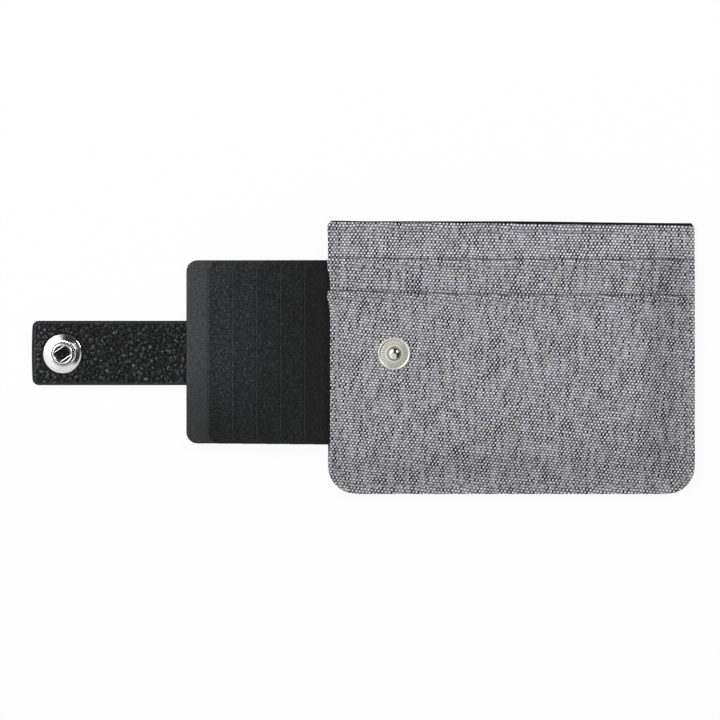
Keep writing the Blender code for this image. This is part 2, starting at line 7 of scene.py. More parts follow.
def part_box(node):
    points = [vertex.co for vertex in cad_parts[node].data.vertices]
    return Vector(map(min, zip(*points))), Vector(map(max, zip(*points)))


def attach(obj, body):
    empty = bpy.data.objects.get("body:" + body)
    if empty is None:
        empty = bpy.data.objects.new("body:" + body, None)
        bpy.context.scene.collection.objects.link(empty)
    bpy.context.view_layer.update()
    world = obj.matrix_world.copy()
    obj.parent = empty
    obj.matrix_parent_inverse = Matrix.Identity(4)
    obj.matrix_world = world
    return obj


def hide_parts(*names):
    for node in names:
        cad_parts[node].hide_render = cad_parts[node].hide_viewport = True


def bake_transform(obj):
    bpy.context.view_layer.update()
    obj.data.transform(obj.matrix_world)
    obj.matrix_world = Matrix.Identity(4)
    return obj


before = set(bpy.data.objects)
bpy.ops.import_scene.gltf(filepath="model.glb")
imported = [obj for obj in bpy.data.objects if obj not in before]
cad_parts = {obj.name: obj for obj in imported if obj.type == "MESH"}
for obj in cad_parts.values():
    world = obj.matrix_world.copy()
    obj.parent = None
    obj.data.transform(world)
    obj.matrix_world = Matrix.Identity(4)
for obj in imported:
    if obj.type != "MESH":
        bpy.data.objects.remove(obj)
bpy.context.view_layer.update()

MM = 0.001

# The camera hangs high above the table and looks straight down through a long lens. The picture
# takes in 225 mm at the height of the wallet's face, round the middle of the wallet and its strap.
PICTURE_WIDTH = 225 * MM
PICTURE_MIDDLE = (-1.17 * MM, -0.83 * MM)
CAMERA_HEIGHT = 2.0
WALLET_FACE = 9.5 * MM
SENSOR_WIDTH = 36

camera_data = bpy.data.cameras.new("camera")
camera_data.sensor_width = SENSOR_WIDTH
camera_data.lens = SENSOR_WIDTH * (CAMERA_HEIGHT - WALLET_FACE) / PICTURE_WIDTH
camera_data.clip_end = 10
camera = bpy.data.objects.new("camera", camera_data)
camera.location = (*PICTURE_MIDDLE, CAMERA_HEIGHT)
bpy.context.scene.collection.objects.link(camera)
bpy.context.scene.camera = camera
bpy.context.scene.view_settings.view_transform = "Standard"


# The table is a matt white card that keeps the wallet's soft shadow. The room is pale in front and
# palest on the left. It is dark on the right and at the back, where two soft lamps stand.
TABLE_SIZE = 6
TABLE_GAP = 0.05 * MM
GLOSSY_RAY, TRANSMISSION_RAY = 3, 6
OWN_WHITE_SHARE = 0.93
LAMP_HEIGHT = 0.8
LAMP_DEPTH = 0.36


class Wire:
    """What comes out of a material's node. Sums and products of wires add Math nodes."""

    def __init__(self, socket):
        self.socket = socket

    def node(self, kind, settings=(), sockets=(), output=0):
        """What comes out of a new node of this kind, once its settings and sockets are made."""
        tree = self.socket.id_data
        made = tree.nodes.new(kind)
        for key, value in dict(settings).items():
            setattr(made, key, value)
        for key, value in dict(sockets).items():
            if isinstance(value, Wire):
                tree.links.new(value.socket, made.inputs[key])
            else:
                made.inputs[key].default_value = value
        return Wire(made.outputs[output])

    def math(self, operation, *others):
        return self.node("ShaderNodeMath", {"operation": operation}, enumerate((self, *others)))

    def __add__(self, other):
        return self.math("ADD", other)

    __radd__ = __add__

    def __mul__(self, other):
        return self.math("MULTIPLY", other)

    __rmul__ = __mul__

    def __sub__(self, other):
        return self.math("SUBTRACT", other)

    def __rsub__(self, other):
        return self * -1 + other

    def __truediv__(self, other):
        return self.math("DIVIDE", other)

    def fade(self, start, end):
        """Nought at start and one at end, with a smooth run between them."""
        settings = {"interpolation_type": "SMOOTHSTEP", "clamp": True}
        sockets = {"Value": self, "From Min": start, "From Max": end}
        return self.node("ShaderNodeMapRange", settings, sockets)

    def tint(self, low, high):
        """The colour from low, where this is nought, to high, where it is one."""
        return self.node("ShaderNodeMix", {"data_type": "RGBA"}, {0: self, 6: low, 7: high}, 2)

    def times(self, colour):
        """This level of the colour."""
        return self.node("ShaderNodeVectorMath", {"operation": "SCALE"}, {0: colour, "Scale": self})

    def axes(self):
        return [self.node("ShaderNodeSeparateXYZ", {}, {0: self}, axis) for axis in range(3)]

    def point(self, x, y, z=0.0):
        return self.node("ShaderNodeCombineXYZ", {}, {0: x, 1: y, 2: z})

    def mottle(self, scale, detail=2.0, roughness=0.5, output=0):
        """Uneven noise, whose patches are about one over scale across."""
        sockets = {"Vector": self, "Scale": scale, "Detail": detail, "Roughness": roughness}
        return self.node("ShaderNodeTexNoise", {}, sockets, output)

    def cells(self, scale, feature="F1", output=0):
        """Cells about one over scale across, as in a hide or a grain."""
        sockets = {"Vector": self, "Scale": scale}
        return self.node("ShaderNodeTexVoronoi", {"feature": feature}, sockets, output)

    def marked(self, name):
        """The value that mark() has kept on the piece under this name."""
        return self.node("ShaderNodeAttribute", {"attribute_name": name}, {}, 2)


def grey(level, tint=(1.0, 1.0, 1.0)):
    return (*(level * part for part in tint), 1.0)


def new_material(name, **constants):
    """A material with these constants, its shader, and the place on the piece in millimetres."""
    material = bpy.data.materials.new(name)
    material.use_nodes = True
    shader = material.node_tree.nodes["Principled BSDF"]
    for key, value in constants.items():
        shader.inputs[key.replace("_", " ")].default_value = value
    coordinates = Wire(material.node_tree.nodes.new("ShaderNodeTexCoord").outputs["Object"])
    scale = {0: coordinates, "Scale": 1 / MM}
    return material, shader, coordinates.node("ShaderNodeVectorMath", {"operation": "SCALE"}, scale)


def feed(shader, **wires):
    for key, wire in wires.items():
        shader.id_data.links.new(wire.socket, shader.inputs[key.replace("_", " ")])


def relief(height, depth, strength=1.0):
    """The normal of a surface that stands up by depth where height is one."""
    sockets = {"Height": height, "Strength": strength, "Distance": depth}
    return height.node("ShaderNodeBump", {}, sockets)


def deselect():
    for thing in bpy.context.selected_objects:
        thing.select_set(False)


def take_up(piece):
    """Selects this piece alone, for the operators that follow."""
    deselect()
    piece.select_set(True)
    bpy.context.view_layer.objects.active = piece


def call_it(name):
    piece = bpy.context.object
    piece.name = name
    piece.data.name = name
    return piece


def finish_piece(piece, material, body=None, replaced=()):
    """Gives a piece its material and says what it rides on and which CAD nodes it stands for."""
    take_up(piece)
    bpy.ops.object.transform_apply(location=True, rotation=True, scale=True)
    piece.data.materials.clear()
    piece.data.materials.append(material)
    if body:
        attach(piece, body)
    if replaced:
        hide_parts(*replaced)


table_card, shader, place = new_material("table_card", Base_Color=grey(0.9), Roughness=0.9)
seen = place.node("ShaderNodeLightPath")
for ray in (GLOSSY_RAY, TRANSMISSION_RAY):
    seen = seen.math("MAXIMUM", place.node("ShaderNodeLightPath", {}, {}, ray))
own_white = place.node("ShaderNodeEmission", {}, {"Color": grey(1.0), "Strength": 1.0})
card = Wire(shader.outputs[0])
mixed = place.node("ShaderNodeMixShader", {}, {0: seen * OWN_WHITE_SHARE, 1: card, 2: own_white})
surface = table_card.node_tree.nodes["Material Output"].inputs["Surface"]
table_card.node_tree.links.new(mixed.socket, surface)
deselect()
bpy.ops.mesh.primitive_plane_add(size=TABLE_SIZE, location=(0, 0, -TABLE_GAP))
table_top = call_it("table_top")
finish_piece(table_top, table_card)

world = bpy.data.worlds.new("pale_room")
world.use_nodes = True
bpy.context.scene.world = world
direction = Wire(world.node_tree.nodes.new("ShaderNodeTexCoord").outputs["Generated"])
across, away, up = direction.axes()
dark_back = away.fade(-0.04, 0.08) * across.fade(-0.14, 0.0)
dark_right = (across * 0.9 + away * 0.15).fade(0.2, 0.36)
dark_low = away.fade(0.1, 0.3) * (0.55 - up).fade(0.0, 0.2)
dark = dark_back.math("MAXIMUM", dark_right).math("MAXIMUM", dark_low)
light_level = 0.76 - dark * 0.73 + (across * -1).fade(0.15, 0.5) * 0.3
sky_colour = light_level.tint(grey(0.0), grey(1.0))
world.node_tree.links.new(sky_colour.socket, world.node_tree.nodes["Background"].inputs["Color"])

for name, x, y, power, width in (
    ("left_lamp", -0.5, 0.36, 3.7, 0.5),
    ("right_lamp", 0.55, 0.42, 3.0, 0.3),
):
    lamp_data = bpy.data.lights.new(name, "AREA")
    lamp_data.shape = "RECTANGLE"
    lamp_data.size = width
    lamp_data.size_y = LAMP_DEPTH
    lamp_data.energy = power
    lamp = bpy.data.objects.new(name, lamp_data)
    lamp.location = (x, y, LAMP_HEIGHT)
    lamp.rotation_euler = lamp.location.to_track_quat("Z", "Y").to_euler()
    bpy.context.scene.collection.objects.link(lamp)

# The back of the wallet: one panel of grey heather canvas, woven of light weft over dark warp, with
# a black lining bonded to it, which shows as a thin line above the front's top edge.
panel_low, panel_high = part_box("back_panel")
lining_low, lining_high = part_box("back_lining")
left_x, right_x = panel_low.x, panel_high.x
bottom_y, top_y = panel_low.y - 0.4 * MM, panel_high.y

CANVAS_THICKNESS = 0.65 * MM
LINING_THICKNESS = 0.22 * MM
BOTTOM_RADIUS = 8.9 * MM
TOP_RADIUS = 1.5 * MM
LINING_TOP_RADIUS = 0.7 * MM
LEFT_SEAM_IN = 3.0 * MM
RIGHT_SEAM_IN = 2.0 * MM
BOTTOM_SEAM_IN = 2.5 * MM
STITCH_PITCH = 3.0 * MM
GROOVE_WIDTH = 0.5 * MM
GROOVE_DEPTH = 0.24 * MM
FACE_DEPTH = 0.3 * MM
SHAPED_EDGE = 12 * MM
CANVAS_GRID = (0.5 * MM, 1.3 * MM)
LINING_GRID = (1.0 * MM, 2.5 * MM)
WARP_PITCH_MM = 0.557
WEFT_PITCH_MM = 0.868

seam_left, seam_right = left_x + LEFT_SEAM_IN, right_x - RIGHT_SEAM_IN
seam_bottom = bottom_y + BOTTOM_SEAM_IN
seam_radius = BOTTOM_RADIUS - BOTTOM_SEAM_IN
seam_corner_y = seam_bottom + seam_radius


def heather_canvas():
    """Plain weave: light oval floats of the weft, and between them floats of a warp whose yarns go
    from pale grey to nearly black along their length. Painted light makes the cloth paler towards
    its top, most along its top edge, and painted shade darkens it where the piece is marked."""
    material, shader, place = new_material("heather_canvas", Roughness=0.92, Specular_IOR_Level=0.2)
    x, y, _ = place.axes()
    grain = place.marked("grain")
    drift = place.mottle(0.09, output=1).axes()
    jitter = place.mottle(0.8, output=1).axes()
    u = (x - y * grain + (drift[0] - 0.5) * 1.2 + (jitter[0] - 0.5) * 0.3) / WARP_PITCH_MM
    v = (y + x * grain + (drift[1] - 0.5) * 1.2 + (jitter[1] - 0.5) * 0.3) / WEFT_PITCH_MM
    column = u.math("FLOOR")
    row = v.math("FLOOR")
    off_u = u - column - 0.5
    off_v = v - row - 0.5
    weft_up = (column + row).math("FLOORED_MODULO", 2)
    swell = (1 - off_u * off_u * 2.0) * (1 - off_v * off_v * 4.4) + off_u * off_v * 0.8
    on_top = swell.fade(0.1, 0.75)
    cell = place.point(column, row)
    chance = cell.node("ShaderNodeTexWhiteNoise", {"noise_dimensions": "2D"}, {"Vector": cell})
    warp_tone = place.point(column * 5.3, y * 0.15).mottle(1.0, 3.0, 0.6)
    weft_tone = place.point(x * 0.1, row * 4.7).mottle(1.0, 3.0, 0.6)
    streak = place.point(x * 0.7, y * 0.11).mottle(1.0, 2.0)
    light_yarn = 0.56 + chance * 0.24 + (weft_tone - 0.5) * 0.4 + (streak - 0.5) * 0.25
    dark_yarn = 0.16 + (warp_tone - 0.5) * 1.3 + (streak - 0.5) * 0.35 + (chance - 0.5) * 0.12
    dark_yarn = dark_yarn.math("MAXIMUM", 0.008)
    between = (0.065 + (warp_tone - 0.5) * 0.5 + (streak - 0.5) * 0.2).math("MAXIMUM", 0.02)
    floating = weft_up * light_yarn + (1 - weft_up) * dark_yarn
    # Painted light: paler towards the top, and most along the top edge, where more light falls.
    painted_top_light = 0.93 + y.fade(-36.0, -10.0) * 0.09 + y.fade(24.0, 36.0) * 0.12
    # Painted shade: darker where the piece is marked, along the thread's sunk lines and just above
    # the hem of the layer on top.
    unshaded = 1 - place.marked("painted_shade") * 0.6
    level = (between + on_top * (floating - between)) * unshaded * painted_top_light
    cast = place.mottle(0.5, 1.0).fade(0.3, 0.7)
    tint = cast.tint((1.03, 1.0, 1.14, 1.0), (1.0, 1.005, 1.0, 1.0))
    height = on_top * (0.4 + weft_up * 0.6)
    feed(shader, Base_Color=level.times(tint), Normal=relief(height, 0.14 * MM, 0.7))
    return material


def black_lining():
    """A thin black twill."""
    material, shader, place = new_material(
        "black_lining_cloth", Roughness=0.8, Specular_IOR_Level=0.15
    )
    x, y, z = place.axes()
    rib = ((x + y * 0.6 + z * 0.6) * 9.0).math("SINE") * 0.5 + 0.5
    uneven = place.mottle(0.4, 3.0)
    level = 0.004 + rib * 0.004 + uneven * 0.004
    feed(shader, Base_Color=level.times((1.0, 1.0, 1.04)), Normal=relief(rib, 0.05 * MM, 0.6))
    return material


heather = heather_canvas()
lining = black_lining()


def ease(value):
    value = min(max(value, 0.0), 1.0)
    return value * value * (3 - 2 * value)


def ridge(distance, width):
    return math.exp(-((distance / width) ** 2))


def seam_offset(x, y):
    """How far this is from the seam that runs down the left, round the bottom and up the right, and
    how far along the seam its nearest place lies."""
    if y > seam_corner_y:
        return min(abs(x - seam_left), abs(x - seam_right)), y
    for corner_x, side in ((seam_left + seam_radius, -1), (seam_right - seam_radius, 1)):
        if (x - corner_x) * side > 0:
            out = math.hypot(x - corner_x, y - seam_corner_y)
            turn = math.atan2(seam_corner_y - y, abs(x - corner_x))
            return abs(out - seam_radius), turn * seam_radius
    return abs(y - seam_bottom), x


def thread_groove(gap, along):
    """How far the thread draws the cloth in at this gap from its seam: fully where it goes down,
    and less between."""
    return ridge(gap, GROOVE_WIDTH) * (0.75 + 0.25 * math.cos(2 * math.pi * along / STITCH_PITCH))


def spaced(low, high, edge, fine, coarse):
    """Places from low to high, fine steps apart within edge of either end, and else coarse ones."""
    near = max(1, round(edge / fine))
    far = max(1, round((high - low - 2 * edge) / coarse))
    places = [low + edge * step / near for step in range(near)]
    places += [low + edge + (high - low - 2 * edge) * step / far for step in range(far)]
    places += [high - edge + edge * step / near for step in range(near + 1)]
    return places


def corner_inset(radius, gap):
    """How far a round corner's edge lies in at this gap from the side that it runs into."""
    return radius - math.sqrt(max(radius**2 - max(radius - gap, 0.0) ** 2, 0.0))


def thicken(piece, thickness):
    take_up(piece)
    solidify = piece.modifiers.new("thickness", "SOLIDIFY")
    solidify.thickness = thickness
    solidify.offset = 1.0
    bpy.ops.object.modifier_apply(modifier=solidify.name)


def cut_cloth(name, xs, ys, thickness, round_top=0.0, inset_left=lambda y: 0.0):
    """Cloth on a grid of these places, with soft edges, lying at nought. Where round_top is given,
    its corners are cut round, and its left edge lies in by inset_left."""
    deselect()
    bpy.ops.mesh.primitive_grid_add(x_subdivisions=len(xs) - 1, y_subdivisions=len(ys) - 1, size=2)
    piece = call_it(name)
    low_x, high_x, low_y, high_y = xs[0], xs[-1], ys[0], ys[-1]
    for number, vert in enumerate(piece.data.vertices):
        x, y = xs[number % len(xs)], ys[number // len(xs)]
        inset = 0.0
        if round_top:
            inset = corner_inset(BOTTOM_RADIUS, y - low_y) + corner_inset(round_top, high_y - y)
        left_share = max(0.0, 1 - (x - low_x) / SHAPED_EDGE)
        right_share = max(0.0, 1 - (high_x - x) / SHAPED_EDGE)
        vert.co = (x + (inset + inset_left(y)) * left_share - inset * right_share, y, 0)
    thicken(piece, thickness)
    bevel = piece.modifiers.new("worn_edge", "BEVEL")
    bevel.width = thickness * 0.3
    bevel.segments = 2
    bevel.limit_method = "ANGLE"
    bevel.angle_limit = math.radians(60)
    bpy.ops.object.modifier_apply(modifier=bevel.name)
    base = min(vert.co.z for vert in piece.data.vertices)
    for vert in piece.data.vertices:
        vert.co.z -= base
    return piece


def smooth(piece, angle=60):
    take_up(piece)
    bpy.ops.object.shade_smooth_by_angle(angle=math.radians(angle))


def mark(piece, name, values):
    """Keeps a value for each vertex, which the material reads."""
    attribute = piece.data.attributes.new(name, "FLOAT", "POINT")
    attribute.data.foreach_set("value", values)


def cloth_area(width, length, corners):
    """The flat area of a cut with these round corners."""
    return width * length - sum((1 - math.pi / 4) * radius**2 for radius in corners)


def top_rise(x):
    """The top edge isn't straight: it runs up at the mouth, and down towards the right."""
    share = (x - left_x) / (right_x - left_x)
    return (0.28 + 0.2 * (1 - ease(share / 0.12)) - 0.6 * ease((share - 0.45) / 0.55)) * MM


def near_top(y, edge_y):
    """How much a place follows the top edge: fully at the edge, and not at all further down."""
    return ease((y - edge_y + SHAPED_EDGE) / SHAPED_EDGE)


panel_xs = spaced(left_x, right_x, SHAPED_EDGE, *CANVAS_GRID)
back_ys = spaced(bottom_y, top_y, SHAPED_EDGE, *CANVAS_GRID)
back_canvas = cut_cloth("back_canvas", panel_xs, back_ys, CANVAS_THICKNESS, TOP_RADIUS)
painted_shades = []
for vert in back_canvas.data.vertices:
    x, y, z = vert.co
    under_side = 1 - ease(z / FACE_DEPTH)
    groove = thread_groove(*seam_offset(x, y)) * under_side
    vert.co = (x, y + top_rise(x) * near_top(y, top_y), panel_low.z + z + groove * GROOVE_DEPTH)
    # Painted shade where the thread sinks the cloth.
    painted_shades.append(groove * 0.6)
mark(back_canvas, "painted_shade", painted_shades)
mark(back_canvas, "grain", [0.0] * len(painted_shades))
smooth(back_canvas)
finish_piece(back_canvas, heather, "wallet", ["back_panel"])
back_flat = (right_x - left_x, top_y - bottom_y)
back_corners = (BOTTOM_RADIUS, BOTTOM_RADIUS, TOP_RADIUS, TOP_RADIUS)
cloth_area(*back_flat, back_corners)

lining_xs = spaced(lining_low.x, lining_high.x, SHAPED_EDGE, *LINING_GRID)
lining_ys = spaced(lining_low.y, lining_high.y, SHAPED_EDGE, *LINING_GRID)
back_cloth = cut_cloth(
    "back_lining_cloth", lining_xs, lining_ys, LINING_THICKNESS, LINING_TOP_RADIUS
)
for vert in back_cloth.data.vertices:
    x, y, z = vert.co
    vert.co = (x, y + top_rise(x) * near_top(y, lining_high.y), z + lining_low.z)
smooth(back_cloth)
finish_piece(back_cloth, lining, "wallet", ["back_lining"])
lining_flat = (lining_high.x - lining_low.x, lining_high.y - lining_low.y)
lining_corners = (BOTTOM_RADIUS, BOTTOM_RADIUS, LINING_TOP_RADIUS, LINING_TOP_RADIUS)
cloth_area(*lining_flat, lining_corners)

# The channel for the sleeves: two black liners, above and below, joined along their sides and their
# closed end by pleated strips, which open as cards are put in.
LINER_EDGE = 6 * MM
PLEAT_THICKNESS = 0.15 * MM
PLEAT_INSET = 0.1 * MM
PLEAT_CLEARANCE = 0.03 * MM


def channel_liner(name, node):
    low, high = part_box(node)
    xs = spaced(low.x, high.x, LINER_EDGE, *LINING_GRID)
    ys = spaced(low.y, high.y, LINER_EDGE, *LINING_GRID)
    piece = cut_cloth(name, xs, ys, LINING_THICKNESS)
    for vert in piece.data.vertices:
        vert.co.z += low.z
    smooth(piece)
    finish_piece(piece, lining, "wallet", [node])


def pleated_strip(name, node, outwards, turned_end):
    """A strip on edge, whose middle is folded outwards, which is to the plus or minus side."""
    low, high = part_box(node)
    near, far = (low.x, high.x) if turned_end else (low.y, high.y)
    start, end = (low.y, high.y) if turned_end else (low.x, high.x)
    depth = far - near - LINING_THICKNESS
    height = high.z - low.z
    inner = near if outwards > 0 else far
    deselect()
    bpy.ops.mesh.primitive_grid_add(x_subdivisions=48, y_subdivisions=12, size=2)
    piece = call_it(name)
    for vert in piece.data.vertices:
        along = start + (vert.co.x + 1) / 2 * (end - start)
        share = (vert.co.y + 1) / 2
        fold = depth * (1 - abs(2 * share - 1)) * (1 - 0.12 * ridge(share - 0.5, 0.08))
        out = inner + outwards * (fold + PLEAT_INSET)
        z = low.z + PLEAT_CLEARANCE + share * (height - 2 * PLEAT_CLEARANCE)
        vert.co = (out, along, z) if turned_end else (along, out, z)
    take_up(piece)
    solidify = piece.modifiers.new("thickness", "SOLIDIFY")
    solidify.thickness = PLEAT_THICKNESS
    solidify.offset = 0.0
    bpy.ops.object.modifier_apply(modifier=solidify.name)
    bpy.ops.object.mode_set(mode="EDIT")
    bpy.ops.mesh.select_all(action="SELECT")
    bpy.ops.mesh.normals_make_consistent(inside=False)
    bpy.ops.object.mode_set(mode="OBJECT")
    smooth(piece)
    finish_piece(piece, lining, "wallet", [node])
    return piece


pleats = [
    pleated_strip("upper_pleat", "channel_upper_gusset", 1, False),
    pleated_strip("lower_pleat", "channel_lower_gusset", -1, False),
    pleated_strip("end_pleat", "channel_end_gusset", 1, True),
]
channel_liner("lower_channel_liner", "channel_back_liner")
channel_liner("upper_channel_liner", "channel_front_liner")

# The front: a full panel of the canvas and two slip pockets on it, sewn down at the right, the
# bottom and the left, and draped over the sleeves. Each top edge is a turned and stitched hem.
upper_low, upper_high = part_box("upper_slip_pocket")
lower_low, lower_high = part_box("lower_slip_pocket")
front_low, front_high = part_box("front_base_panel")
liner_low, liner_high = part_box("channel_front_liner")
stud_low, stud_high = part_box("snap_stud")
stud_centre = ((stud_low.x + stud_high.x) / 2, (stud_low.y + stud_high.y) / 2)

SEAM_FLAT = 1.8 * MM
STUD_FLAT = 9 * MM
HEM_EDGE = 13 * MM
HEM_GRID = (0.42 * MM, 1.3 * MM)
HEM_RADIUS = 0.4 * MM
HEM_SEAM_DOWN = 2.4 * MM
HEM_SWELL = 0.13 * MM
HEM_SHADOW_WIDTH = 0.42 * MM
MOUTH_DRAW = 0.7 * MM
HEM_FLARE = 0.22 * MM
EXTRA_WIDTH = 1.1 * MM
EXTRA_LENGTH = 3.1 * MM
front_top = front_high.y
rise = front_high.z - front_low.z - CANVAS_THICKNESS
wallet_width = right_x - left_x


def rise_share(x, y):
    """How much the front is raised: not at all at its seams, and fully over the sleeves."""
    top = ease((front_top - SEAM_FLAT - y) / (front_top - SEAM_FLAT - liner_high.y))
    bottom = ease((y - bottom_y - SEAM_FLAT) / (liner_low.y - bottom_y - SEAM_FLAT))
    right = ease((right_x - SEAM_FLAT - x) / (right_x - SEAM_FLAT - liner_high.x))
    return top * bottom * right


def unevenness(x, y):
    """Sewn canvas is never quite flat. The stud holds it flat round itself."""
    calm = 1 - ridge(math.hypot(x - stud_centre[0], y - stud_centre[1]), STUD_FLAT)
    wave = noise.noise(Vector((x / (16 * MM), y / (11 * MM), 0.3)))
    return 0.15 * MM * wave * calm * rise_share(x, y)


def front_slope(x):
    """The front's top edge follows the lining's, and leaves more of it bare towards the right."""
    share = (x - left_x) / wallet_width
    return top_rise(x) + (0.13 - 0.36 * ease((share - 0.2) / 0.35)) * MM


def upper_slope(x):
    """The upper pocket's hem falls a little towards the right."""
    along = (x - left_x) / MM
    return (0.15 - 0.25 * ease(along / 40) - 0.2 * ease((along - 15) / 30)) * MM


def lower_slope(x):
    """The lower pocket's hem stands up at the mouth and falls further than the upper one's."""
    along = (x - left_x) / MM
    return (0.7 * (1 - ease(along / 34)) - 0.6 * ease((along - 15) / 45) - 0.0017 * along) * MM


def drawn_in(hem_top):
    """The mouth's edge is drawn in, and a hem's corner stands out a little above that."""

    def inset(y):
        low_y = bottom_y + BOTTOM_RADIUS
        drawn = ease((y - low_y + 4 * MM) / (14 * MM)) * ease((front_top - 10 * MM - y) / (9 * MM))
        flare = ridge(max(0.0, hem_top - 1.4 * MM - y), 2.8 * MM)
        return MOUTH_DRAW * drawn * (1 - flare) - HEM_FLARE * flare

    return inset


def front_layer(name, node, slope, next_edge, grain):
    """One layer of the front. slope is how its hem departs from straight, next_edge is where the
    hem of the layer on it lies, and grain is how far off the thread it was cut."""
    low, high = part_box(node)
    ys = spaced(bottom_y, high.y, HEM_EDGE, *HEM_GRID)
    round_top = TOP_RADIUS if node == "front_base_panel" else HEM_RADIUS
    piece = cut_cloth(name, panel_xs, ys, CANVAS_THICKNESS, round_top, drawn_in(high.y))
    painted_shades = []
    for vert in piece.data.vertices:
        x, y, z = vert.co
        y += slope(x) * near_top(y, high.y)
        upper_side = ease((z - FACE_DEPTH) / (0.2 * MM))
        gap = y - high.y - slope(x) + HEM_SEAM_DOWN
        groove = max(thread_groove(*seam_offset(x, y)), thread_groove(gap, x))
        swell = HEM_SWELL * ease((gap - 0.4 * MM) / (0.7 * MM))
        height = low.z + z + rise * rise_share(x, y) + unevenness(x, y)
        vert.co = (x, y, height + upper_side * (swell - GROOVE_DEPTH * groove))
        # Painted shade: darker along the thread's sunk line, and in a band just above the hem of
        # the layer on it, which shades it there.
        shade = 0.55 * groove
        if next_edge:
            shade = max(shade, ridge(y - next_edge(x) - 0.1 * MM, HEM_SHADOW_WIDTH))
        painted_shades.append(shade * upper_side)
    mark(piece, "painted_shade", painted_shades)
    mark(piece, "grain", [grain] * len(painted_shades))
    smooth(piece)
    finish_piece(piece, heather, "wallet", [node])
    flat = (wallet_width + EXTRA_WIDTH, high.y - bottom_y + EXTRA_LENGTH)
    corners = (BOTTOM_RADIUS, BOTTOM_RADIUS, round_top, round_top)
    cloth_area(*flat, corners)


def upper_edge(x):
    return upper_high.y + upper_slope(x)


def lower_edge(x):
    return lower_high.y + lower_slope(x)


for name, node, slope, next_edge, rests_on, grain in (
    ("front_canvas", "front_base_panel", front_slope, upper_edge, "upper_channel_liner", 0.03),
    ("upper_pocket_canvas", "upper_slip_pocket", upper_slope, lower_edge, "front_canvas", 0.065),
    ("lower_pocket_canvas", "lower_slip_pocket", lower_slope, None, "upper_pocket_canvas", 0.115),
):
    front_layer(name, node, slope, next_edge, grain)

# The stitching: a thick grey thread along the mouth, round the bottom and up the right, front and
# back, and along each hem. It lies in short stitches, and is painted dark as shade where it goes
# down into a hole.
STITCH_LENGTH = 2.5 * MM
STITCH_SLANT = 0.06
STITCH_BOW = 0.06 * MM
THREAD_RADIUS = 0.32 * MM
THREAD_SUNK = 0.16 * MM
THREAD_SUNK_AT_BACK = 0.03 * MM
SEAM_START_DOWN = 1.5 * MM

thread, shader, place = new_material("grey_thread", Roughness=0.65)
x, y, z = place.axes()
twist = ((x * 1.2 + y + z) * 11.0).math("SINE") * 0.5 + 0.5
fleck = place.mottle(0.8, 3.0)
# Painted shade: the thread is darker where it goes down into a hole.
level = (0.22 + twist * 0.12 + fleck * 0.22) * (1 - place.marked("down") * 0.85)
feed(shader, Base_Color=level.times((1.01, 1.0, 1.05)), Normal=relief(twist, 0.05 * MM, 0.7))


def draw_out(piece, axis, reach, drop=0.0):
    """Draws a piece's two halves apart along an axis, each by reach, and lowers both by drop."""
    for side in (-1, 1):
        bpy.ops.object.mode_set(mode="EDIT")
        bpy.ops.mesh.select_mode(type="VERT")
        bpy.ops.mesh.select_all(action="DESELECT")
        bpy.ops.object.mode_set(mode="OBJECT")
        for vert in piece.data.vertices:
            vert.select = vert.co[axis] * side > 0.02 * MM
        bpy.ops.object.mode_set(mode="EDIT")
        move = [0, 0, -drop]
        move[axis] = side * reach
        bpy.ops.transform.translate(value=move)
        bpy.ops.object.mode_set(mode="OBJECT")


deselect()
bpy.ops.mesh.primitive_uv_sphere_add(
    segments=8, ring_count=6, radius=THREAD_RADIUS, rotation=(0, math.pi / 2, 0)
)
stitch = call_it("stitch_pattern")
bpy.ops.object.transform_apply(location=True, rotation=True, scale=True)
draw_out(stitch, 0, STITCH_LENGTH / 2 - THREAD_RADIUS, STITCH_BOW)
before_hole = [STITCH_LENGTH / 2 - abs(vert.co.x) for vert in stitch.data.vertices]
# Marks the ends of the stitch, where the thread goes down into a hole, for painted shade.
mark(stitch, "down", [ease((0.2 * MM - gap) / (0.15 * MM)) for gap in before_hole])
smooth(stitch)


def front_height(x, y):
    """The top of whichever layer lies on top here."""
    if y > upper_edge(x):
        base = front_low.z
    elif y > lower_edge(x):
        base = upper_low.z
    else:
        base = lower_low.z
    return base + CANVAS_THICKNESS + rise * rise_share(x, y) + unevenness(x, y)


def sew(name, places, under=False):
    """Lays a stitch at each place, which is x, y, z and the angle that the seam runs at. Under the
    wallet the stitches lie upside down."""
    row = []
    for x, y, z, angle in places:
        one = stitch.copy()
        one.data = stitch.data.copy()
        bpy.context.scene.collection.objects.link(one)
        turn = Matrix.Rotation(angle + STITCH_SLANT, 4, "Z")
        if under:
            turn = turn @ Matrix.Rotation(math.pi, 4, "X")
        one.matrix_world = Matrix.Translation((x, y, z)) @ turn
        row.append(one)
    bpy.context.view_layer.update()
    deselect()
    for one in row:
        one.select_set(True)
    bpy.context.view_layer.objects.active = row[0]
    bpy.ops.object.join()
    finish_piece(call_it(name), thread, "wallet")


def seam_places(high_y):
    """Where the stitches lie, from the mouth's top down, round the bottom and up the right."""
    side = high_y - seam_corner_y
    quarter = math.pi / 2 * seam_radius
    floor = seam_right - seam_left - 2 * seam_radius
    places = []
    for number in range(int((2 * side + 2 * quarter + floor) / STITCH_PITCH)):
        along = (number + 0.5) * STITCH_PITCH
        if along < side:
            places.append((seam_left, high_y - along, math.pi / 2))
            continue
        along -= side
        if along < quarter:
            turn = along / seam_radius
            x = seam_left + seam_radius * (1 - math.cos(turn))
            y = seam_corner_y - seam_radius * math.sin(turn)
            places.append((x, y, math.pi / 2 + turn))
            continue
        along -= quarter
        if along < floor:
            places.append((seam_left + seam_radius + along, seam_bottom, math.pi))
            continue
        along -= floor
        if along < quarter:
            turn = along / seam_radius
            x = seam_right - seam_radius * (1 - math.sin(turn))
            y = seam_corner_y - seam_radius * math.cos(turn)
            places.append((x, y, math.pi + turn))
            continue
        places.append((seam_right, seam_corner_y + along - quarter, math.pi / 2))
    return places


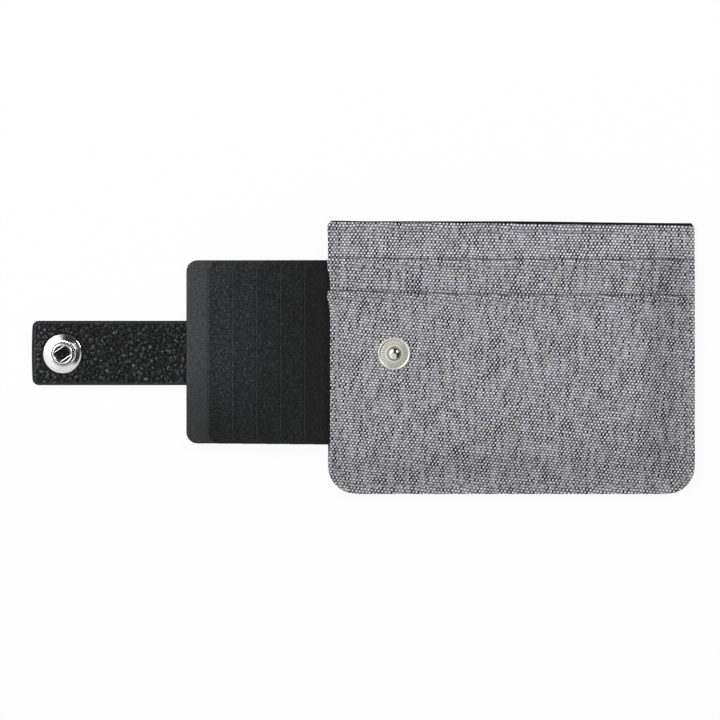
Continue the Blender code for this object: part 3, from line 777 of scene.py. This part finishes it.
seam = seam_places(front_top - SEAM_START_DOWN)
under_z = panel_low.z + THREAD_RADIUS - THREAD_SUNK_AT_BACK
sew("front_seam", [(x, y, front_height(x, y) - THREAD_SUNK, angle) for x, y, angle in seam])
sew("back_seam", [(x, y, under_z, angle) for x, y, angle in seam], under=True)
hem_count = int((seam_right - seam_left) / STITCH_PITCH)
for name, hem_top, slope in (
    ("top_hem_seam", front_top, front_slope),
    ("upper_pocket_seam", upper_high.y, upper_slope),
    ("lower_pocket_seam", lower_high.y, lower_slope),
):
    places = []
    for number in range(1, hem_count):
        x = seam_left + (number + 0.3) * STITCH_PITCH
        y = hem_top + slope(x) - HEM_SEAM_DOWN
        places.append((x, y, front_height(x, y) - THREAD_SUNK, 0.0))
    sew(name, places)
bpy.data.objects.remove(stitch)

# The stud: a turned nickel-plated flange with fine pressed ribs round a polished ball. The rivet
# that holds it, behind the lower pocket, keeps its CAD form.
STUD_SEGMENTS = 240
STUD_RIBS = 34
STUD_RIB_HEIGHT = 0.025 * MM


def plated(name, tint, roughness, wear):
    """Polished plating with faint hazy marks, and painted shade in the pressed grooves marked
    on it.
    """
    material, shader, place = new_material(name, Metallic=1.0)
    haze = place.mottle(1.4, 4.0, 0.6)
    scratch = place.mottle(6.0, 2.0, 0.7)
    rough = roughness + haze.fade(0.45, 0.75) * wear + (scratch - 0.5) * wear * 0.5
    # The haze is a real mark. The marked grooves get painted shade.
    unhazed_unshaded = (1 - haze.fade(0.5, 0.8) * wear) * (1 - place.marked("groove") * 0.7)
    feed(shader, Base_Color=unhazed_unshaded.times(tint), Roughness=rough)
    feed(shader, Normal=relief(scratch, 0.004 * MM, 0.15))
    return material


nickel = plated("satin_nickel", (0.8, 0.8, 0.73), 0.38, 0.1)
bright_nickel = plated("polished_nickel", (0.76, 0.76, 0.71), 0.1, 0.05)
# Painted shade: a dark nickel for the stud's hollows, under the ball and in the valley outside the
# ribs.
shaded_nickel = plated("nickel_in_painted_shade", (0.3, 0.3, 0.26), 0.45, 0.1)


def turned(name, centre, base, profile, segments):
    """A piece turned to this profile of radii and heights in millimetres: a circle, extruded and
    scaled ring by ring. A profile that comes back to its start makes a ring, and others are closed
    with a flat face at each end."""
    radius, height = profile[0]
    place = (*centre, base + height * MM)
    deselect()
    bpy.ops.mesh.primitive_circle_add(vertices=segments, radius=radius * MM, location=place)
    piece = call_it(name)
    bpy.ops.object.mode_set(mode="EDIT")
    bpy.ops.mesh.select_mode(type="VERT")
    bpy.ops.mesh.select_all(action="SELECT")
    for next_radius, next_height in profile[1:]:
        lift = (0, 0, (next_height - height) * MM)
        bpy.ops.mesh.extrude_region_move(TRANSFORM_OT_translate={"value": lift})
        share = next_radius / radius
        middle = (*centre, base + next_height * MM)
        bpy.ops.transform.resize(value=(share, share, 1), center_override=middle)
        radius, height = next_radius, next_height
    bpy.ops.mesh.select_all(action="SELECT")
    bpy.ops.mesh.remove_doubles(threshold=0.002 * MM)
    if profile[0] != profile[-1]:
        bpy.ops.mesh.select_all(action="SELECT")
        bpy.ops.mesh.fill_holes(sides=0)
    bpy.ops.mesh.select_all(action="SELECT")
    bpy.ops.mesh.normals_make_consistent(inside=False)
    bpy.ops.object.mode_set(mode="OBJECT")
    bpy.ops.object.transform_apply(location=True, rotation=True, scale=True)
    return piece


def face_in(piece, material, centre, radii, heights):
    """Gives the faces between these radii and heights, in millimetres, another material, such as
    polish or painted shade.
    """
    if material.name not in piece.data.materials:
        piece.data.materials.append(material)
    number = piece.data.materials.find(material.name)
    for face in piece.data.polygons:
        out = math.hypot(face.center.x - centre[0], face.center.y - centre[1]) / MM
        if radii[0] < out < radii[1] and heights[0] < face.center.z / MM < heights[1]:
            face.material_index = number


def press_ribs(piece, centre, inner, outer, count, depth):
    """Raises and sinks the piece by turns between two radii, as a ribbed die does, and marks the
    grooves, which the plating material paints darker as shade."""
    grooves = []
    for vert in piece.data.vertices:
        out = math.hypot(vert.co.x - centre[0], vert.co.y - centre[1]) / MM
        turn = math.atan2(vert.co.y - centre[1], vert.co.x - centre[0])
        pressed = inner < out < outer
        if pressed:
            vert.co.z += depth * math.cos(turn * count)
        grooves.append(0.5 - 0.5 * math.cos(turn * count) if pressed else 0.0)
    mark(piece, "groove", grooves)


stud_profile = (
    (1.25, 0.0),
    (4.9, 0.0),
    (5.0, 0.06),
    (5.06, 0.2),
    (5.06, 0.34),
    (5.0, 0.44),
    (4.88, 0.5),
    (4.68, 0.49),
    (4.52, 0.42),
    (4.38, 0.3),
    (4.2, 0.27),
    (4.05, 0.3),
    (3.6, 0.34),
    (3.1, 0.37),
    (2.6, 0.39),
    (2.4, 0.4),
    (2.25, 0.41),
    (1.9, 0.4),
    (1.6, 0.42),
    (1.35, 0.5),
    (1.25, 0.62),
    (1.25, 1.4),
    (1.3, 1.48),
    (1.62, 1.54),
    (1.79, 1.64),
    (1.85, 1.76),
    (1.83, 1.87),
    (1.76, 1.99),
    (1.64, 2.1),
    (1.46, 2.21),
    (1.22, 2.32),
    (0.92, 2.41),
    (0.62, 2.465),
    (0.3, 2.495),
    (0.05, 2.5),
)
stud = turned("stud", stud_centre, stud_low.z, stud_profile, STUD_SEGMENTS)
press_ribs(stud, stud_centre, 2.7, 4.1, STUD_RIBS, STUD_RIB_HEIGHT)
smooth(stud, 50)
finish_piece(stud, nickel, "wallet", ["snap_stud"])
stud_base = stud_low.z / MM
# The ball is polished. The neck under it and the valley outside the ribs are painted dark, as
# shade.
for finish_and_shade, radii, low, high in (
    (bright_nickel, (0, 1.9), 1.45, 3),
    (shaded_nickel, (1.3, 2.3), 0.3, 1.45),
    (shaded_nickel, (4.2, 4.4), 0.2, 0.4),
):
    face_in(stud, finish_and_shade, stud_centre, radii, (stud_base + low, stud_base + high))

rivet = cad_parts["stud_rivet"]
for number in range(len(rivet.data.materials)):
    rivet.data.materials[number] = nickel

# The sleeves: a stiff smooth board that leads, and five card sleeves of grained black film, each of
# two films welded along their edges. They slide out together and lie on each other in steps.
SLEEVE_RADIUS = 3.5 * MM
CUT_SPARE = 0.15 * MM
SLEEVE_SAG = 0.06 * MM
WELD_IN = 0.4 * MM
WELD_WIDTH = 0.9 * MM
WELD_STEP_WIDTH = 0.15 * MM
WELD_DEPTH = 0.012 * MM
CUT_LINE = 0.43 * MM


def welded_film(name, node, material, body, sag=0.0):
    """A film with round corners, a little taller than its node, and longer at the bottom by sag.
    Its weld shows as a narrow band just inside the edge."""
    low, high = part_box(node)
    low.y -= sag
    high.y += CUT_SPARE
    thickness = high.z - low.z
    deselect()
    bpy.ops.mesh.primitive_cube_add(size=1, location=(low + high) / 2, scale=high - low)
    piece = call_it(name)
    bpy.ops.object.transform_apply(location=True, rotation=True, scale=True)
    bpy.ops.object.mode_set(mode="EDIT")
    bpy.ops.mesh.select_mode(type="EDGE")
    bpy.ops.mesh.select_all(action="DESELECT")
    bpy.ops.object.mode_set(mode="OBJECT")
    for edge in piece.data.edges:
        ends = [piece.data.vertices[number].co for number in edge.vertices]
        edge.select = abs(ends[0].z - ends[1].z) > thickness / 2
    bpy.ops.object.mode_set(mode="EDIT")
    bpy.ops.mesh.bevel(offset=SLEEVE_RADIUS, segments=8, affect="EDGES")
    bpy.ops.mesh.select_mode(type="FACE")
    bpy.ops.mesh.select_all(action="DESELECT")
    bpy.ops.object.mode_set(mode="OBJECT")
    for face in piece.data.polygons:
        face.select = abs(face.normal.z) > 0.9
    bpy.ops.object.mode_set(mode="EDIT")
    bpy.ops.mesh.inset(thickness=thickness * 0.25, depth=0)
    bpy.ops.mesh.inset(thickness=WELD_IN, depth=0)
    bpy.ops.mesh.inset(thickness=WELD_WIDTH, depth=0)
    bpy.ops.mesh.inset(thickness=WELD_STEP_WIDTH, depth=-WELD_DEPTH)
    bpy.ops.mesh.select_mode(type="VERT")
    bpy.ops.object.mode_set(mode="OBJECT")
    middle = (low.z + high.z) / 2
    rims = []
    for vert in piece.data.vertices:
        x, y, z = vert.co
        corner_x = max(low.x + SLEEVE_RADIUS - x, x - high.x + SLEEVE_RADIUS, 0.0)
        corner_y = max(low.y + SLEEVE_RADIUS - y, y - high.y + SLEEVE_RADIUS, 0.0)
        edge = SLEEVE_RADIUS - math.hypot(corner_x, corner_y)
        rims.append(1.0 - min(max(edge, 0.0) / CUT_LINE, 1.0))
        if edge < 0.001 * MM:
            vert.co.z = middle + (z - middle) * 0.5
    mark(piece, "rim", rims)
    smooth(piece, 70)
    finish_piece(piece, material, body, [node])


def smooth_board():
    """Satin black board with a faint fine speckle. It is darker along its cut edge, and painted
    darker towards the bottom and the right, as shade where less light falls."""
    material, shader, place = new_material("smooth_board", Specular_IOR_Level=0.25)
    x, y, _ = place.axes()
    speckle = place.mottle(1.7, 3.0, 0.75)
    cloud = place.point(x * 0.1, y * 0.04).mottle(1.0, 2.0)
    # Painted light and shade: lighter at the left, darker towards the bottom.
    left_light = 1 - x.fade(-56.0, -46.0) * 0.2
    top_light = 1 - (1 - y.fade(-26.0, 4.0)) * 0.45
    plain = 1 - place.marked("rim") * 0.45
    level = (0.047 + (speckle - 0.5) * 0.15 + (cloud - 0.5) * 0.02) * left_light * plain
    level = (level * top_light).math("MAXIMUM", 0.005)
    feed(shader, Base_Color=level.times((0.98, 1.0, 1.07)), Roughness=0.45 + speckle * 0.15)
    feed(shader, Normal=relief(speckle, 0.02 * MM, 0.3))
    return material


def grained_film(name, painted_light_level):
    """Film with a fine pressed grain, painted darker at the lower left as shade, and with a painted
    highlight along its cut edge.
    """
    material, shader, place = new_material(name, Specular_IOR_Level=0.18)
    grain = place.mottle(1.6, 3.0, 0.75)
    cloud = place.mottle(0.12, 2.0)
    x, y, _ = place.axes()
    # Painted shade: darker towards the lower left, where less light falls.
    painted_low_shade = (1 - y.fade(-26.0, 4.0)) * (1 - x.fade(-52.0, -14.0)) * 0.7
    fleck = grain.fade(0.55, 0.75)
    level = 0.014 + fleck * 0.035 + (grain - 0.5) * 0.1 + (cloud - 0.5) * 0.006
    level = level * (1 - painted_low_shade) * painted_light_level
    # Painted highlight: lighter along the cut edge, which catches the light.
    level = level.math("MAXIMUM", 0.002) + place.marked("rim") * 0.011
    feed(shader, Base_Color=level.times((0.94, 1.0, 1.08)), Roughness=0.5 + grain * 0.2)
    feed(shader, Normal=relief(grain - place.cells(3.4) * 0.4, 0.06 * MM, 0.5))
    return material


welded_film("pull_board", "pull_sheet", smooth_board(), "pull_sheet")
# Each film gets its own copy of the material, painted darker the nearer it lies to the mouth, in
# the wallet's shade.
for number, painted_light_level in enumerate((1.45, 1.09, 0.79, 0.62, 0.34), 1):
    film = grained_film(f"grained_film_{number}", painted_light_level)
    body = f"sleeve_{number}"
    sag = number * SLEEVE_SAG
    for layer in ("back", "front"):
        name = f"film_{number}_{layer}"
        welded_film(name, f"{body}_{layer}", film, body, sag)

# The strap: a strip of pebbled black leather with painted edges, sewn under the board. The real
# strap bends up round the mouth and over the front in two soft quarter turns; here it is made flat,
# in two lengths that meet in the middle of the bridge.
root_low, root_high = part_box("strap_root")
bridge_low, bridge_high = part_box("strap_bridge")
tail_low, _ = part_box("strap_tail")

TIP_RADIUS = 1.9 * MM
TIP_BOW = 0.3 * MM
TIP_LENGTH = 8 * MM
EDGE_RADIUS = 0.42 * MM
EDGE_GRID = [step * MM for step in (0.0, 0.12, 0.3, 0.55)]
EDGE_WIDTH = 0.9 * MM
LEATHER_ROWS = 54
LEATHER_STEP = 0.36 * MM
PEBBLE = 1.45 * MM
PEBBLE_SEED = 5
PEBBLE_HEIGHT = 0.12 * MM
strap_y = (root_low.y + root_high.y) / 2
strap_z = (root_low.z + root_high.z) / 2
bend_middle = (bridge_low.x + bridge_high.x) / 2


def pebbled_leather():
    """Black hide in irregular pebbles, with painted highlights in short flecks on their sides
    towards the light, painted shade between them, and smooth paint along the edges with a painted
    highlight just inside it."""
    material, shader, place = new_material("pebbled_leather", Specular_IOR_Level=0.16)
    x, y, z = place.axes()
    drift = place.mottle(0.35, 2.0, output=1).axes()
    drawn_x, drawn_y = x + drift[0] * 1.6, y + drift[1] * 1.6
    hide = place.point(drawn_x, drawn_y, z)
    pebble = hide.cells(0.6, "DISTANCE_TO_EDGE").fade(0.0, 0.25)
    middle_x, middle_y, _ = hide.cells(0.6, output=2).axes()
    lit_side = ((drawn_y - middle_y) * 0.9 - (drawn_x - middle_x) * 0.4).fade(-0.2, 0.7)
    pores = place.point((x + y) * 0.55, (y - x) * 1.05, z).mottle(1.3, 3.0, 0.7)
    # Painted highlights: flecks on the side of each pebble that faces the light.
    shine = pores.fade(0.46, 0.7) * (0.15 + pebble * (0.35 + lit_side * 0.8))
    tip_light = 1 + (1 - x.fade(-103.0, -94.0)) * 0.55
    paint = place.marked("paint")
    # Painted highlight: a light band where the paint meets the hide, as the rounded edge catches
    # the light.
    edge_highlight = paint * (1 - paint) * 4
    bare = 1 - paint
    # Painted shade: darker between the pebbles.
    level = (0.001 + pebble * 0.011 + shine * 0.16) * tip_light * bare + paint * 0.008 + edge_highlight * 0.02
    feed(shader, Base_Color=level.times((0.97, 1.0, 1.06)))
    feed(shader, Roughness=(0.6 - pores * 0.2) * bare + paint * 0.4)
    feed(shader, Normal=relief((pebble - hide.cells(2.2) * 0.5 + pores * 0.6) * bare, 0.3 * MM))
    return material


leather = pebbled_leather()
# Unseeded, noise_vector() starts from the clock, and the pebbles would differ on each run.
noise.seed_set(PEBBLE_SEED)


def pebble_height(x, y):
    """The hide's pebbles, drawn in along the creases between them."""
    at = Vector((x / PEBBLE, y / PEBBLE, 0.0))
    at += 0.35 * noise.noise_vector(at * 0.6)
    distances, _ = noise.voronoi(at)
    return (ease((distances[1] - distances[0]) / 0.4) - 1) * PEBBLE_HEIGHT


def leather_strip(name, start, end, tip):
    """A length of the strap from start to end. Its long edges are rounded and painted, and so is
    its start where that is the strap's tip."""
    low_y, high_y = root_low.y, root_high.y
    inner_width = high_y - low_y - 2 * EDGE_WIDTH
    ys = [low_y + step for step in EDGE_GRID]
    ys += [
        low_y + EDGE_WIDTH + inner_width * step / LEATHER_ROWS for step in range(LEATHER_ROWS + 1)
    ]
    ys += [high_y - step for step in reversed(EDGE_GRID)]
    steps = round((end - start) / LEATHER_STEP)
    xs = [start + (end - start) * step / steps for step in range(steps + 1)]
    if tip:
        xs = [start + step for step in EDGE_GRID] + [x for x in xs if x > start + 0.8 * MM]
    deselect()
    bpy.ops.mesh.primitive_grid_add(x_subdivisions=len(xs) - 1, y_subdivisions=len(ys) - 1, size=2)
    piece = call_it(name)
    for number, vert in enumerate(piece.data.vertices):
        x, y = xs[number % len(xs)], ys[number // len(xs)]
        if tip:
            inset = corner_inset(TIP_RADIUS, min(y - low_y, high_y - y))
            bow = TIP_BOW * (1 - ((y - strap_y) / (high_y - strap_y)) ** 2)
            x += (inset - bow) * max(0.0, 1 - (x - start) / TIP_LENGTH)
        vert.co = (x, y, root_low.z)
    thicken(piece, root_high.z - root_low.z)
    paints = []
    for vert in piece.data.vertices:
        x, y, z = vert.co
        edge = min(y - low_y, high_y - y)
        if tip and edge < TIP_RADIUS and x - start < TIP_RADIUS:
            edge = TIP_RADIUS - math.hypot(TIP_RADIUS - x + start, TIP_RADIUS - edge)
        elif tip:
            edge = min(edge, x - start)
        edge = max(edge, 0.0)
        round_off = corner_inset(EDGE_RADIUS, edge)
        if z > strap_z:
            vert.co.z = z - round_off + pebble_height(x, y) * ease((edge - 0.45 * MM) / (0.5 * MM))
        else:
            vert.co.z = z + round_off
        paints.append(1 - ease((edge - 0.3 * MM) / (0.7 * MM)))
    mark(piece, "paint", paints)
    smooth(piece)
    finish_piece(piece, leather, None)
    return piece


strap_root = leather_strip("strap_by_board", bend_middle, root_high.x, False)
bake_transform(strap_root)
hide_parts("strap_root", "strap_link_1", "strap_link_2")
strap_tip = leather_strip("strap_with_socket", tail_low.x, bend_middle, True)
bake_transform(strap_tip)
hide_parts("strap_bridge", "strap_link_3", "strap_link_4", "strap_tail")

# The socket: a chrome-plated ring with a knurled rim, pressed on the hollow post of a cap under the
# strap. A bent wire in its groove is the spring that grips the stud's neck.
socket_low, socket_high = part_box("snap_socket")
cap_low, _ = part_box("socket_cap")
socket_centre = ((socket_low.x + socket_high.x) / 2, (socket_low.y + socket_high.y) / 2)
SOCKET_SEGMENTS = 192
SOCKET_RIBS = 48
SOCKET_RIB_HEIGHT = 0.05 * MM
KNURLS = 96
KNURL_START = 5.9 * MM
KNURL_DEPTH_SHARE = 0.013
CAP_SEGMENTS = 96
WIRE_RADIUS = 0.25 * MM
WIRE_BEND_RADIUS = 1.0 * MM
WIRE_SEGMENTS = 32
WIRE_REACH_ACROSS = 0.78 * MM
WIRE_REACH_ALONG = 1.75 * MM
WIRE_HEIGHT = 1.45 * MM
WIRE_ANGLE = math.radians(-55)

chrome = plated("chrome_plate", (0.9, 0.9, 0.91), 0.1, 0.1)
steel = plated("spring_wire", (0.72, 0.71, 0.66), 0.25, 0.1)
# Painted shade: a near-black material for the well inside the socket, its spring's channel and the
# cap's hollow post, where shade falls.
shaded_bore, shader, place = new_material("bore_in_painted_shade", Metallic=0.8, Roughness=0.5)
stain = place.mottle(1.6, 3.0)
feed(shader, Base_Color=(0.02 + stain * 0.07).times((1.0, 0.97, 0.85)))

socket_profile = (
    (1.38, 0.0),
    (5.9, 0.0),
    (6.1, 0.08),
    (6.2, 0.2),
    (6.2, 0.38),
    (6.12, 0.52),
    (5.98, 0.6),
    (5.8, 0.64),
    (5.55, 0.66),
    (5.35, 0.69),
    (5.1, 0.76),
    (4.8, 0.85),
    (4.5, 0.94),
    (4.2, 1.03),
    (4.05, 1.08),
    (3.85, 1.12),
    (3.68, 1.15),
    (3.58, 1.16),
    (3.48, 1.06),
    (3.38, 1.02),
    (3.28, 1.1),
    (3.28, 1.34),
    (3.3, 1.64),
    (3.25, 1.84),
    (3.12, 1.95),
    (2.95, 1.99),
    (2.78, 1.98),
    (2.66, 1.9),
    (2.6, 1.78),
    (2.6, 1.73),
    (3.1, 1.73),
    (3.1, 1.16),
    (2.6, 1.16),
    (2.6, 0.9),
    (2.1, 0.84),
    (2.05, 0.76),
    (2.05, 0.24),
    (1.9, 0.14),
    (1.84, 0.2),
    (1.74, 0.38),
    (1.6, 0.46),
    (1.46, 0.4),
    (1.38, 0.25),
    (1.38, 0.0),
)
socket = turned("socket", socket_centre, socket_low.z, socket_profile, SOCKET_SEGMENTS)
press_ribs(socket, socket_centre, 3.6, 4.1, SOCKET_RIBS, SOCKET_RIB_HEIGHT)
for vert in socket.data.vertices:
    off = Vector((vert.co.x - socket_centre[0], vert.co.y - socket_centre[1]))
    if off.length > KNURL_START and vert.co.z > socket_low.z + 0.05 * MM:
        ridges = 0.5 + 0.5 * math.cos(math.atan2(off.y, off.x) * KNURLS)
        share = 1 - KNURL_DEPTH_SHARE * ridges
        vert.co.x = socket_centre[0] + off.x * share
        vert.co.y = socket_centre[1] + off.y * share
smooth(socket, 50)
finish_piece(socket, chrome, "strap_tail", ["snap_socket"])
socket_base = socket_low.z / MM
# The well and the spring's channel are painted in shade.
face_in(socket, shaded_bore, socket_centre, (1.3, 2.62), (socket_base, socket_base + 1.72))
face_in(socket, shaded_bore, socket_centre, (3.28, 3.56), (socket_base + 1.01, socket_base + 1.3))

cap_profile = (
    (0.05, 0.7),
    (1.1, 0.7),
    (1.2, 0.85),
    (1.22, 2.6),
    (1.3, 2.72),
    (1.48, 2.74),
    (1.6, 2.64),
    (1.6, 1.39),
    (5.66, 1.39),
    (6.1, 1.0),
    (6.25, 0.78),
    (6.16, 0.5),
    (5.85, 0.28),
    (5.3, 0.12),
    (4.6, 0.03),
    (4.0, 0.0),
    (3.0, 0.0),
    (0.05, 0.0),
)
cap = turned("cap_and_post", socket_centre, cap_low.z, cap_profile, CAP_SEGMENTS)
smooth(cap, 50)
finish_piece(cap, chrome, "strap_tail", ["socket_cap"])
cap_base = cap_low.z / MM
# The hollow post is painted in shade.
face_in(cap, shaded_bore, socket_centre, (0, 1.62), (cap_base + 0.65, cap_base + 2.8))

deselect()
bpy.ops.mesh.primitive_torus_add(
    major_segments=WIRE_SEGMENTS,
    minor_segments=12,
    major_radius=WIRE_BEND_RADIUS,
    minor_radius=WIRE_RADIUS,
    rotation=(0, 0, math.pi / WIRE_SEGMENTS),
)
spring = call_it("spring_of_wire")
bpy.ops.object.transform_apply(location=True, rotation=True, scale=True)
draw_out(spring, 0, WIRE_REACH_ACROSS)
draw_out(spring, 1, WIRE_REACH_ALONG)
spring.rotation_euler.z = WIRE_ANGLE
spring.location = (*socket_centre, socket_low.z + WIRE_HEIGHT)
smooth(spring)
finish_piece(spring, steel, "strap_tail", ["socket_spring"])
